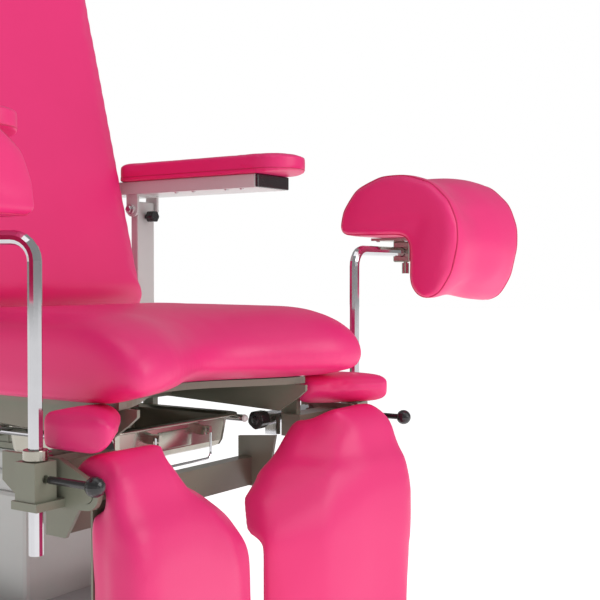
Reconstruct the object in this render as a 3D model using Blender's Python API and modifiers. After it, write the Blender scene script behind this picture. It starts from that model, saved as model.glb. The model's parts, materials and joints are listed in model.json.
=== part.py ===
"""Examination recliner: electric column chair with split leg rests, arm rests and knee crutches.

Metres, +Z up, patient facing -Y, patient's left on +X.  Shapes are written in the seat's own
coordinates (y = 0 at the front rim of the drain pan) and hang from one empty that puts the
middle of the chair's footprint on the world origin.
"""
import math

import bmesh
import bpy
from mathutils import Matrix, Vector

# ---- driving dimensions -------------------------------------------------------------
RIM_Z = 0.470                  # drain pan rim above the floor, column fully down
MID_Y = 0.2185                 # middle of the chair's length, seen from the pan's front rim
GAP = 0.0004                   # air between pieces that touch

PAN_X, PAN_Y, PAN_DEPTH = 0.325, 0.265, 0.055
RAIL_X, RAIL_Z, RAIL_R = 0.1648, RIM_Z - 0.0095, 0.0062
BAIL_HALF, BAIL_LUG_X = 0.068, 0.0615
SEAT_HALF, SEAT_FRONT, SEAT_REAR = 0.300, -0.156, 0.312
SEAT_LOW, SEAT_TOP = RIM_Z + 0.0625, RIM_Z + 0.180
NOTCH_HALF, NOTCH_DEEP = 0.250, 0.105
PLATE_X, PLATE_T = 0.206, 0.006            # side plates of the seat frame
BACK_TILT = math.radians(14)
BACK_HALF, BACK_LONG, BACK_THICK = 0.288, 0.780, 0.088
ARM_X0, ARM_X1 = 0.300, 0.403
ARM_LOW, ARM_HIGH = RIM_Z + 0.402, RIM_Z + 0.428
ARM_TIP_Y = 0.008
POST_X0, POST_X1, POST_Y0, POST_Y1 = 0.310, 0.360, 0.381, 0.399
ARM_KNOB_X, ARM_KNOB_Z = 0.335, RIM_Z + 0.358
ROD_R, ROD_X, ROD_Y, ROD_Z = 0.0092, 0.385, -0.089, RIM_Z + 0.284
CRUTCH_X0, CRUTCH_X1, CLAMP_X = 0.405, 0.655, 0.582
SOCKET_KNOB_Z, SOCKET_KNOB_Y = RIM_Z - 0.0175, -0.1925
CRUTCH_REST = {"left": 0.0, "right": math.radians(-70.7)}   # right: parked beside its arm rest
COLUMN_Y = 0.350
DRIVE_X = 0.044                # actuators, either side of the middle
BEAM_X, BEAM_Y0, BEAM_Y1, BEAM_LOW, BEAM_HIGH = 0.260, -0.140, 0.720, 0.030, 0.060
LEG_LONG = 0.430

# ---- joint axes, as (y, z) of a line along X ------------------------------------------
BACK_PIVOT = (0.412, RIM_Z + 0.085)
TILT_PIVOT = (0.350, RIM_Z - 0.025)
LEG_PIVOT = (-0.150, RIM_Z - 0.037)
ARM_PIVOT = (0.390, RIM_Z + 0.372)
LOCK_BAR = (-0.012, RIM_Z - 0.014)
ACTUATOR_PIN = (0.215, RIM_Z + 0.035)
BAIL_PIN = (-0.0045, RIM_Z - 0.016)

SIDES = (("left", 1), ("right", -1))

for old in list(bpy.data.objects):
    bpy.data.objects.remove(old, do_unlink=True)
chair = bpy.data.collections.new("examination_recliner")
cutters = bpy.data.collections.new("cutters")
for collection in (chair, cutters):
    bpy.context.scene.collection.children.link(collection)


# ---- materials --------------------------------------------------------------------------
def material(name, color, rough, metal=0.0):
    made = bpy.data.materials.new(name)
    made.use_nodes = True
    shader = made.node_tree.nodes["Principled BSDF"]
    shader.inputs["Base Color"].default_value = (*color, 1)
    shader.inputs["Roughness"].default_value = rough
    shader.inputs["Metallic"].default_value = metal
    return made


PINK = material("pink_leatherette", (0.80, 0.045, 0.19), 0.42)
PAINT = material("grey_white_paint", (0.62, 0.64, 0.62), 0.38)
PLATE = material("olive_grey_paint", (0.24, 0.25, 0.20), 0.40)
CHROME = material("chrome", (0.78, 0.78, 0.80), 0.08, 1.0)
STEEL = material("stainless_steel", (0.60, 0.59, 0.56), 0.22, 1.0)
BLACK = material("black_plastic", (0.012, 0.012, 0.013), 0.35)
WHITE = material("white_plastic", (0.86, 0.86, 0.85), 0.35)
RUBBER = material("black_rubber", (0.02, 0.02, 0.02), 0.80)
CASE = material("grey_case", (0.45, 0.46, 0.47), 0.50)


# ---- shape helpers ------------------------------------------------------------------------
def hold(mesh, name, finish=None):
    """A mesh as an object of the chair, its normals facing out."""
    work = bmesh.new()
    work.from_mesh(mesh)
    bmesh.ops.remove_doubles(work, verts=work.verts, dist=1e-6)
    bmesh.ops.recalc_face_normals(work, faces=work.faces)
    work.to_mesh(mesh)
    work.free()
    if finish:
        mesh.materials.append(finish)
    mesh.shade_smooth()
    mesh.set_sharp_from_angle(angle=math.radians(35))
    made = bpy.data.objects.new(name, mesh)
    chair.objects.link(made)
    return made


def box(name, low, high, finish=None, bevel=0.0, segments=2):
    work = bmesh.new()
    bmesh.ops.create_cube(work, size=1)
    size = Vector(high) - Vector(low)
    middle = (Vector(high) + Vector(low)) / 2
    place = Matrix.Translation(middle) @ Matrix.Diagonal((*size, 1))
    bmesh.ops.transform(work, matrix=place, verts=work.verts)
    mesh = bpy.data.meshes.new(name)
    work.to_mesh(mesh)
    work.free()
    made = hold(mesh, name, finish)
    return rounded(made, bevel, segments) if bevel else made


def rounded(made, width, segments=2, angle=40):
    edge = made.modifiers.new("rounded_edges", "BEVEL")
    edge.width = width
    edge.segments = segments
    edge.limit_method = "ANGLE"
    edge.angle_limit = math.radians(angle)
    return made


TURN_TO = {
    "X": Matrix.Rotation(math.pi / 2, 4, "Y"),
    "Y": Matrix.Rotation(-math.pi / 2, 4, "X"),
    "-Y": Matrix.Rotation(math.pi / 2, 4, "X"),
    "Z": Matrix.Identity(4),
}


def span(s, near, far):
    """The x range between two distances from the middle, on side s."""
    return sorted((s * near, s * far))


def rod(name, start, length, radius, axis, finish=None, sides=20):
    """A round bar from start along +axis."""
    work = bmesh.new()
    bmesh.ops.create_cone(work, cap_ends=True, segments=sides, radius1=radius, radius2=radius, depth=length)
    lift = Matrix.Translation((0, 0, length / 2))
    bmesh.ops.transform(work, matrix=Matrix.Translation(start) @ TURN_TO[axis] @ lift, verts=work.verts)
    mesh = bpy.data.meshes.new(name)
    work.to_mesh(mesh)
    work.free()
    return hold(mesh, name, finish)


def turned(name, profile, start, axis, finish=None, steps=20):
    """A turned piece: profile is (radius, height) down the outer side, top to bottom."""
    mesh = bpy.data.meshes.new(name)
    mesh.from_pydata([(r, 0, h) for r, h in profile], [(i, i + 1) for i in range(len(profile) - 1)], [])
    made = bpy.data.objects.new(name, mesh)
    chair.objects.link(made)
    spin = made.modifiers.new("turn", "SCREW")
    spin.steps = spin.render_steps = steps
    spin.use_merge_vertices = True
    spin.merge_threshold = 0.00001
    made.matrix_world = Matrix.Translation(start) @ TURN_TO[axis]
    return as_mesh(made, finish)


def as_mesh(source, finish=None):
    """A curve or modified object turned into a plain welded mesh in its place."""
    bpy.context.view_layer.update()
    evaluated = source.evaluated_get(bpy.context.evaluated_depsgraph_get())
    mesh = bpy.data.meshes.new_from_object(evaluated)
    mesh.transform(source.matrix_world)
    name = source.name
    bpy.data.objects.remove(source, do_unlink=True)
    mesh.materials.clear()
    return hold(mesh, name, finish)


def slab(name, outline, low, high, axis, finish=None):
    """A flat outline between two places on an axis.  X: points are (y, z).  Z: points are (x, y)."""
    curve = bpy.data.curves.new(name, "CURVE")
    curve.dimensions = "2D"
    curve.fill_mode = "BOTH"
    curve.extrude = (high - low) / 2
    spline = curve.splines.new("POLY")
    spline.points.add(len(outline) - 1)
    for point, (u, v) in zip(spline.points, outline):
        point.co = (u, v, 0, 1)
    spline.use_cyclic_u = True
    made = bpy.data.objects.new(name, curve)
    chair.objects.link(made)
    middle = (low + high) / 2
    if axis == "X":
        made.location = (middle, 0, 0)
        made.rotation_euler = (math.pi / 2, 0, math.pi / 2)
    else:
        made.location = (0, 0, middle)
    return as_mesh(made, finish)


def wire(name, points, radius, finish=None, resolution=2):
    """A round bar bent along points."""
    curve = bpy.data.curves.new(name, "CURVE")
    curve.dimensions = "3D"
    curve.bevel_depth = radius
    curve.bevel_resolution = resolution
    curve.use_fill_caps = True
    spline = curve.splines.new("POLY")
    spline.points.add(len(points) - 1)
    for point, place in zip(spline.points, points):
        point.co = (*place, 1)
    made = bpy.data.objects.new(name, curve)
    chair.objects.link(made)
    return as_mesh(made, finish)


def loft(name, rings, finish=None, closed=True):
    """A skin through rings of equally many points, capped at both ends unless left open at the first."""
    work = bmesh.new()
    loops = [[work.verts.new(place) for place in ring] for ring in rings]
    count = len(loops[0])
    for here, there in zip(loops, loops[1:]):
        for i in range(count):
            j = (i + 1) % count
            work.faces.new((here[i], here[j], there[j], there[i]))
    work.faces.new(loops[-1])
    if closed:
        work.faces.new(reversed(loops[0]))
    mesh = bpy.data.meshes.new(name)
    work.to_mesh(mesh)
    work.free()
    return hold(mesh, name, finish)


def arc(cu, cv, radius, start, end, count):
    """Points of an arc, in degrees, on a plane whose axes are u and v."""
    turns = [math.radians(start + (end - start) * i / (count - 1)) for i in range(count)]
    return [(cu + radius * math.cos(a), cv + radius * math.sin(a)) for a in turns]


def helper(made):
    """A cutter or a piece that is welded on: kept out of the chair."""
    chair.objects.unlink(made)
    cutters.objects.link(made)
    made.hide_render = True
    made.display_type = "WIRE"
    return made


def boolean(made, others, operation):
    for other in others:
        step = made.modifiers.new(operation.lower(), "BOOLEAN")
        step.operation = operation
        step.solver = "EXACT"
        step.object = helper(other)
    return made


def weld(made, others):
    return boolean(made, others, "UNION")


def cut(made, others):
    return boolean(made, others, "DIFFERENCE")


# ---- bodies: an empty on each joint axis ----------------------------------------------------
footprint = bpy.data.objects.new("footprint_middle", None)
chair.objects.link(footprint)
footprint.location = (0, -MID_Y, 0)
bodies = {"base": (footprint, Vector((0, 0, 0)))}


def body(name, parent, place):
    """An empty on the joint's axis, carried by its parent body."""
    above, above_place = bodies[parent]
    mark = bpy.data.objects.new(name + "_joint", None)
    mark.empty_display_size = 0.03
    chair.objects.link(mark)
    mark.parent = above
    mark.location = Vector(place) - above_place
    bodies[name] = (mark, Vector(place))


def carry(name, *made):
    """Hang pieces on a body; helpers follow the piece that uses them."""
    mark, place = bodies[name]
    for piece in made:
        users = [step.object for step in piece.modifiers if step.type == "BOOLEAN"]
        for item in (piece, *users):
            item.parent = mark
            item.matrix_parent_inverse = Matrix.Translation(-place)


def on_back(u, n):
    """(y, z) of a point u up the back and n in front of its hinge line."""
    y, z = BACK_PIVOT
    return (
        y + u * math.sin(BACK_TILT) - n * math.cos(BACK_TILT),
        z + u * math.cos(BACK_TILT) + n * math.sin(BACK_TILT),
    )


def lobed(name, start, axis, radius, length, finish, lobes=6):
    """A clamp knob with finger lobes."""
    ring = []
    for i in range(lobes * 4):
        turn = 2 * math.pi * i / (lobes * 4)
        reach = radius * (1 - 0.11 * (1 - math.cos(lobes * turn)) / 2)
        ring.append((reach * math.cos(turn), reach * math.sin(turn)))
    made = slab(name, ring, 0, length, "Z")
    made.data.transform(Matrix.Translation(start) @ TURN_TO[axis])
    made.data.materials.append(finish)
    return rounded(made, 0.002, 2, 50)


# ---- base and telescopic column ----------------------------------------------------------------
def base():
    """Floor frame on four rubber feet, its cover, the outer column and the electrics."""
    half = 0.030
    names = {1: "base_frame", -1: "right_beam"}
    beams = []
    for _, s in SIDES:
        near, far = s * BEAM_X - half, s * BEAM_X + half
        beams.append(box(names[s], (near, BEAM_Y0, BEAM_LOW), (far, BEAM_Y1, BEAM_HIGH), PAINT, 0.003))
    cross = [
        box("cross", (-0.28, y - half, BEAM_LOW + 0.001), (0.28, y + half, BEAM_HIGH - 0.001))
        for y in (0.12, 0.60)
    ]
    floor_plate = box("floor_plate", (-0.11, 0.10, BEAM_LOW + 0.0005), (0.11, 0.62, BEAM_LOW + 0.0105))
    carry("base", weld(beams[0], [beams[1], *cross, floor_plate]))

    shell = box("base_cover", (-0.19, 0.155, 0.0615), (0.19, 0.565, 0.150), CASE, 0.022, 3)
    hollow = box("cover_hollow", (-0.187, 0.158, 0.040), (0.187, 0.562, 0.147), None, 0.019, 3)
    column_hole = box("cover_hole", (-0.0865, 0.2685, 0.10), (0.0865, 0.4315, 0.20))
    inlet_hole = box("inlet_hole", (-0.0145, 0.550, 0.0845), (0.0145, 0.580, 0.1075))
    carry("base", cut(shell, [hollow, column_hole, inlet_hole]))

    for side, s in SIDES:
        for end, y in (("front", -0.11), ("rear", 0.69)):
            top = BEAM_LOW - 0.0002
            profile = [(0, top), (0.007, top), (0.007, 0.016), (0.026, 0.011), (0.026, 0.0), (0, 0.0)]
            carry("base", turned(f"foot_{end}_{side}", profile, (s * BEAM_X, y, 0), "Z", RUBBER, 24))

    outer = tube_stage("column_outer", 0.085, 0.080, 0.0409, 0.340, 0.005)
    carry("base", outer)
    carry("base", box("control_box", (-0.075, 0.450, 0.0412), (0.075, 0.540, 0.110), CASE, 0.004))
    inlet = weld(
        box("power_inlet", (-0.014, 0.5455, 0.085), (0.014, 0.566, 0.107), BLACK),
        [box("inlet_rim", (-0.019, 0.5655, 0.080), (0.019, 0.569, 0.112))],
    )
    socket = box("inlet_socket", (-0.010, 0.554, 0.0885), (0.010, 0.575, 0.1035))
    carry("base", cut(inlet, [socket]))


def tube_stage(name, half_x, half_y, low, high, wall):
    """One square stage of the column, open at both ends."""
    stage = box(name, (-half_x, COLUMN_Y - half_y, low), (half_x, COLUMN_Y + half_y, high), PAINT)
    rounded(stage, 0.008, 2, 80)
    inside = box(
        name + "_inside",
        (-half_x + wall, COLUMN_Y - half_y + wall, low - 0.01),
        (half_x - wall, COLUMN_Y + half_y - wall, high + 0.01),
    )
    return cut(stage, [inside])


def column():
    body("column_middle", "base", (0, COLUMN_Y, 0.375))
    carry("column_middle", tube_stage("column_middle", 0.0785, 0.0735, 0.060, 0.375, 0.005))
    body("column_top", "column_middle", (0, COLUMN_Y, 0.4095))
    carry("column_top", tube_stage("column_inner", 0.072, 0.067, 0.080, RIM_Z - 0.0605, 0.005))

    y, z = TILT_PIVOT
    plate = box("tilt_bracket", (-0.072, y - 0.067, RIM_Z - 0.060), (0.072, y + 0.067, RIM_Z - 0.050), PLATE)
    ears = [
        slab("ear", [(y - 0.035, z - 0.028), (y + 0.035, z - 0.028), *arc(y, z, 0.016, 0, 180, 9)],
             s * 0.064 - 0.005, s * 0.064 + 0.005, "X")
        for _, s in SIDES
    ]
    pin = rod("tilt_pin", (-0.090, y, z), 0.180, 0.008, "X")
    foot = box("lever_foot", (-0.070, y - 0.020, RIM_Z - 0.055), (-0.030, y + 0.020, RIM_Z - 0.012))
    lever = box("lever", (-0.050, y - 0.008, RIM_Z - 0.050), (-0.038, y + 0.008, RIM_Z + 0.045))
    carry("column_top", weld(plate, [*ears, pin, foot, lever]))


# ---- seat ----------------------------------------------------------------------------------------
def side_plate(s):
    """Side plate of the seat frame: channel height under the seat, an ear at the back hinge."""
    low, high = RIM_Z + 0.012, RIM_Z + 0.050
    y, z = BACK_PIVOT
    outline = [
        (-0.100, high - 0.010), (-0.085, high - 0.022), (-0.045, low - 0.010), (0.200, low), (0.360, low),
        *arc(y, z, 0.022, -60, 180, 11), (0.372, high), (-0.100, high),
    ]
    return slab("side_plate", outline, *span(s, PLATE_X, PLATE_X + PLATE_T), "X")


def seat_frame():
    """The welded frame: side plates, cross tubes and the outriggers for posts, legs and crutches."""
    y, z = TILT_PIVOT
    pieces = []
    for _, s in SIDES:
        pieces.append(side_plate(s))
        near, far = span(s, PLATE_X + 0.002, 0.249)
        pieces.append(box("link_top", (near, -0.0585, RIM_Z + 0.030), (far, -0.025, RIM_Z + 0.0495)))
        near, far = span(s, 0.240, 0.252)
        pieces.append(box("link", (near, -0.0585, RIM_Z - 0.045), (far, -0.026, RIM_Z + 0.049)))
        near, far = span(s, 0.226, 0.355)
        pieces.append(box("outrigger", (near, -0.074, RIM_Z - 0.044), (far, -0.036, RIM_Z - 0.006)))
        near, far = span(s, PLATE_X + 0.002, POST_X1)
        pieces.append(box("post_arm", (near, 0.372, RIM_Z + 0.014), (far, 0.408, RIM_Z + 0.046)))
        ly, lz = LEG_PIVOT
        cheek = [
            *arc(ly, lz, 0.020, 90, 270, 9), (-0.070, RIM_Z - 0.060), (-0.030, RIM_Z - 0.058),
            (0.006, RIM_Z - 0.034), (0.006, RIM_Z + 0.004), (-0.100, RIM_Z + 0.004),
        ]
        near, far = span(s, 0.3495, 0.3575)
        pieces.append(slab("leg_cheek", cheek, near, far, "X"))
        near, far = span(s, 0.355, 0.405)
        pieces.append(box("shelf", (near, -0.112, RIM_Z - 0.056), (far, -0.066, RIM_Z - 0.0455)))
        near, far = span(s, ROD_X - 0.018, ROD_X + 0.018)
        front, rear = ROD_Y - 0.018, ROD_Y + 0.018
        pieces.append(box("crutch_socket", (near, front, RIM_Z - 0.050), (far, rear, RIM_Z + 0.004)))
        near, far = span(s, 0.0745, 0.0825)
        ear = [
            (y + 0.045, z + 0.050), (y + 0.010, z + 0.050),
            *arc(y, z, 0.016, 180, 300, 7), (y + 0.045, z + 0.012),
        ]
        pieces.append(slab("tilt_ear", ear, near, far, "X"))
        near, far = span(s, 0.1714, PLATE_X + 0.001)
        pieces.append(box("rail_hanger", (near, 0.235, RIM_Z - 0.0125), (far, 0.262, RIM_Z - 0.0065)))
        near, far = span(s, 0.194, PLATE_X + 0.0015)
        pieces.append(box("hanger_drop", (near, 0.236, RIM_Z - 0.0120), (far, 0.261, RIM_Z + 0.030)))
    half = PLATE_X + 0.003
    for y0, y1 in ((0.200, 0.230), (0.368, 0.398)):
        pieces.append(box("cross_tube", (-half, y0, RIM_Z + 0.014), (half, y1, RIM_Z + 0.048)))
    frame = pieces.pop()
    frame.name = "seat_frame"
    frame.data.materials.append(PLATE)
    weld(frame, pieces)

    holes = [rod("tilt_hole", (-0.12, y, z), 0.24, 0.0088, "X")]
    by, bz = BACK_PIVOT
    holes.append(rod("back_hole", (-0.25, by, bz), 0.50, 0.0126, "X", sides=24))
    holes.append(rod("leg_hole", (-0.40, *LEG_PIVOT), 0.80, 0.0112, "X", sides=24))
    for _, s in SIDES:
        x = s * ROD_X
        holes.append(rod("crutch_hole", (x, ROD_Y, RIM_Z - 0.07), 0.10, ROD_R + 0.0006, "Z", sides=24))
        holes.append(rod("socket_tap", (x, ROD_Y - 0.03, SOCKET_KNOB_Z), 0.020, 0.0056, "Y", sides=12))
    holes.append(box("lever_notch", (0.028, 0.360, RIM_Z + 0.0215), (0.060, 0.405, RIM_Z + 0.060)))
    carry("seat", cut(frame, holes))


def notch(x):
    """How far the seat's front edge is set back at x, a smooth U for access."""
    return NOTCH_DEEP * (1 + math.cos(math.pi * x / NOTCH_HALF)) / 2 if abs(x) < NOTCH_HALF else 0.0


def seat_cushion():
    """Flat top falling off in a round front edge that draws back in the middle, and softened sides."""
    deep, tall = 0.118, 0.080
    nose = [(-0.040 + deep * u, RIM_Z + 0.098 + tall * v) for u, v in arc(0, 0, 1, 90, 180, 8)]
    nose += [(-0.150, RIM_Z + 0.078), (-0.095, SEAT_LOW)]
    mid_y, mid_z = (SEAT_REAR + SEAT_FRONT) / 2, (SEAT_LOW + SEAT_TOP) / 2
    softened = ((SEAT_HALF, 0.86, 0.55), (0.2955, 0.94, 0.80), (0.2835, 0.985, 0.95), (0.264, 1.0, 1.0))
    inner = [(x / 1000, 1.0, 1.0) for x in range(0, 250, 30)]
    stations = [*softened, *reversed(inner)]
    stations = [(-x, fy, fz) for x, fy, fz in stations] + [*inner[1:], *reversed(softened)]
    rings = []
    for x, fy, fz in stations:
        side = [(SEAT_REAR, SEAT_LOW), (SEAT_REAR, SEAT_TOP), *[(y + notch(x), z) for y, z in nose]]
        rings.append([(x, mid_y + fy * (y - mid_y), mid_z + fz * (z - mid_z)) for y, z in side])
    return loft("seat_cushion", rings, PINK)


def seat():
    body("seat", "column_top", (0, *TILT_PIVOT))
    seat_frame()
    half = 0.230
    edge = [(x / 1000, -0.085 + notch(x / 1000)) for x in range(-230, 231, 20)]
    plan = [(half, SEAT_REAR - 0.015), (-half, SEAT_REAR - 0.015), *edge]
    board = slab("seat_board", plan, RIM_Z + 0.0504, SEAT_LOW - GAP, "Z", PLATE)
    swing_slot = box("swing_slot", (0.022, 0.222, RIM_Z + 0.040), (0.066, SEAT_REAR, SEAT_LOW + 0.01))
    carry("seat", cut(board, [swing_slot]))
    carry("seat", seat_cushion())

    for side, s in SIDES:
        plan = [
            (0.234, -0.060), (0.234, -0.092), (0.262, -0.115), (0.300, -0.150),
            (0.345, -0.185), (0.360, -0.170), (0.360, -0.068),
        ]
        plan = [(s * x, y) for x, y in plan]
        wedge = slab(f"front_bolster_{side}", plan, RIM_Z + 0.0165, SEAT_LOW - 0.0006, "Z", PINK)
        carry("seat", rounded(wedge, 0.010, 2, 20))

        rail = rod(f"pan_rail_{side}", (s * RAIL_X, 0.0, RAIL_Z), 0.270, RAIL_R, "Y", CHROME, 16)
        carry("seat", rail)
        dome = [(0, 0.0068), (0.0030, 0.0062), (0.0058, 0.0035), (0.0066, 0.0), (0, 0.0)]
        carry("seat", turned(f"rail_cap_{side}", dome, (s * RAIL_X, -GAP, RAIL_Z), "-Y", WHITE, 16))

        low, high = RIM_Z + 0.0465, RIM_Z + 0.388
        near, far = span(s, POST_X0, POST_X1)
        post = box(f"armrest_post_{side}", (near, POST_Y0, low), (far, POST_Y1, high), PAINT, 0.002)
        bolt_hole = rod("post_bolt_hole", (near - 0.01, *ARM_PIVOT), 0.07, 0.0058, "X", sides=16)
        screw = (s * ARM_KNOB_X, POST_Y0 - 0.005, ARM_KNOB_Z)
        knob_hole = rod("post_knob_hole", screw, 0.014, 0.0044, "Y", sides=12)
        carry("seat", cut(post, [bolt_hole, knob_hole]))

        y, z = LOCK_BAR
        near, far = span(s, 0.2065, 0.3491)
        bar = rod(f"leg_lock_bar_{side}", (near, y, z), far - near, 0.0125, "X", CHROME, 20)
        near, far = span(s, 0.2265, 0.2395)
        tail = box("bar_seat", (near, y - 0.012, z - 0.030), (far, y + 0.012, z))
        screw_hole = rod("bar_hole", (min(s * 0.19, s * 0.226), y, z), 0.036, 0.0056, "X", sides=12)
        carry("seat", cut(weld(bar, [tail]), [screw_hole]))

    cheek = [
        (-0.022, RIM_Z - 0.045), (0.060, RIM_Z - 0.052), (0.060, RIM_Z - 0.140),
        (0.020, RIM_Z - 0.140), (-0.014, RIM_Z - 0.085),
    ]
    yoke = [slab("yoke_cheek", cheek, *span(s, 0.2265, 0.2325), "X") for _, s in SIDES]
    panel = box("front_yoke", (-0.229, 0.030, RIM_Z - 0.138), (0.229, 0.056, RIM_Z - 0.088), PLATE)
    carry("seat", weld(panel, yoke))


# ---- linear actuators, in the seat frame ---------------------------------------------------------
def actuator(name, owner, x, reach):
    """Spindle drive lying along Y: gearbox and guide tube, with its rod ending at y = reach."""
    y, z = ACTUATOR_PIN
    gearbox = box(name, (x - 0.016, y + 0.0185, z - 0.014), (x + 0.016, y + 0.055, z + 0.010), CASE)
    tube = rod("guide_tube", (x, y + 0.050, z), 0.048, 0.0098, "Y", sides=16)
    bore = rod("guide_bore", (x, y + 0.0215, z), 0.090, 0.0066, "Y", sides=16)
    carry(owner, cut(weld(gearbox, [tube]), [bore]))
    start = y + 0.086
    return rod(name + "_rod", (x, start, z), reach - start, 0.0058, "Y", CHROME, 16)


def drives():
    y, z = ACTUATOR_PIN
    body("tilt_rod", "seat", (-DRIVE_X, y, z))
    carry("tilt_rod", actuator("tilt_actuator", "seat", -DRIVE_X, TILT_PIVOT[0] - 0.014))
    body("back_drive", "seat", (DRIVE_X, y, z))
    body("back_rod", "back_drive", (DRIVE_X, y, z))
    carry("back_rod", actuator("back_actuator", "back_drive", DRIVE_X, BACK_PIVOT[0] - 0.016))


# ---- drain pan ---------------------------------------------------------------------------------
def tray(half_x, y0, y1, z, corner):
    return [(x, y, z) for x, y in (
        *arc(half_x - corner, y1 - corner, corner, 0, 90, 5),
        *arc(-half_x + corner, y1 - corner, corner, 90, 180, 5),
        *arc(-half_x + corner, y0 + corner, corner, 180, 270, 5),
        *arc(half_x - corner, y0 + corner, corner, 270, 360, 5),
    )]


def drain_pan():
    """One open sheet, rim to floor, thickened by Solidify."""
    body("pan", "seat", (0, 0, RIM_Z))
    half, wall = PAN_X / 2, 0.0012
    rings = [
        tray(half, 0, PAN_Y, RIM_Z, 0.030),
        tray(half - 0.0125, 0.0125, PAN_Y - 0.0125, RIM_Z, 0.022),
        tray(half - 0.014, 0.014, PAN_Y - 0.014, RIM_Z - 0.004, 0.021),
        tray(half - 0.019, 0.019, PAN_Y - 0.019, RIM_Z - PAN_DEPTH + 0.012, 0.021),
        tray(half - 0.023, 0.023, PAN_Y - 0.023, RIM_Z - PAN_DEPTH + 0.004, 0.019),
        tray(half - 0.032, 0.032, PAN_Y - 0.032, RIM_Z - PAN_DEPTH, 0.014),
    ]
    pan = loft("drain_pan", rings, None, closed=False)
    sheet = pan.modifiers.new("sheet", "SOLIDIFY")
    sheet.thickness = wall
    sheet.offset = 1
    sheet.use_even_offset = True
    pan = as_mesh(pan, STEEL)
    y, z = BAIL_PIN
    hinge = [
        box("bail_hinge", (x - 0.006, 0.000, z - 0.009), (x + 0.006, 0.0195, z + 0.005))
        for x in (-BAIL_LUG_X, BAIL_LUG_X)
    ]
    lugs = [
        box("bail_lug", (x - 0.003, y - 0.005, z - 0.005), (x + 0.003, 0.004, z + 0.005))
        for x in (-BAIL_LUG_X, BAIL_LUG_X)
    ]
    bore = rod("bail_hole", (-BAIL_HALF - 0.010, y, z), 2 * BAIL_HALF + 0.020, 0.0026, "X", sides=12)
    carry("pan", cut(weld(pan, [*hinge, *lugs]), [bore]))

    body("bail", "pan", (0, y, z))
    half, drop, turn, tip = BAIL_HALF, 0.048, 0.010, BAIL_LUG_X - 0.0065
    path = [(-tip, y, z), (-half + 0.001, y, z)]
    path += [(px, y, pz) for px, pz in (
        *arc(-half + turn, z - drop + turn, turn, 180, 270, 5),
        *arc(half - turn, z - drop + turn, turn, 270, 360, 5),
    )]
    path += [(half - 0.001, y, z), (tip, y, z)]
    carry("bail", wire("pan_bail", path, 0.0021, CHROME, 2))


# ---- back ------------------------------------------------------------------------------------------
def back():
    body("back", "seat", (0, *BACK_PIVOT))
    profile = [on_back(u, n) for u, n in (
        (0.052, 0.0), (BACK_LONG - 0.02, 0.0), (BACK_LONG, 0.020), (BACK_LONG, BACK_THICK - 0.03),
        (BACK_LONG - 0.03, BACK_THICK), (0.090, BACK_THICK), (0.052, BACK_THICK - 0.035),
    )]
    cushion = slab("back_cushion", profile, -BACK_HALF, BACK_HALF, "X", PINK)
    carry("back", rounded(cushion, 0.028, 3, 25))

    y, z = BACK_PIVOT
    strut = [on_back(u, n) for u, n in ((-0.010, -0.012), (0.0, 0.010), (0.030, -0.0006), (0.700, -0.0006),
                                         (0.700, -0.022), (0.03, -0.030))]
    pieces = [slab("strut", strut, s * 0.185 - 0.012, s * 0.185 + 0.012, "X") for _, s in SIDES]
    panel = [on_back(u, n) for u, n in ((0.075, -0.0008), (0.735, -0.0008), (0.735, -0.010), (0.075, -0.010))]
    pieces.append(slab("panel", panel, -0.225, 0.225, "X"))
    lever = [(y - 0.010, z + 0.005), (y - 0.008, z - 0.058), (y + 0.008, z - 0.058), (y + 0.012, z + 0.005)]
    pieces.append(slab("lever", lever, 0.038, 0.050, "X"))
    frame = rod("back_frame", (-0.218, y, z), 0.436, 0.012, "X", PLATE, 24)
    carry("back", weld(frame, pieces))


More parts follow.
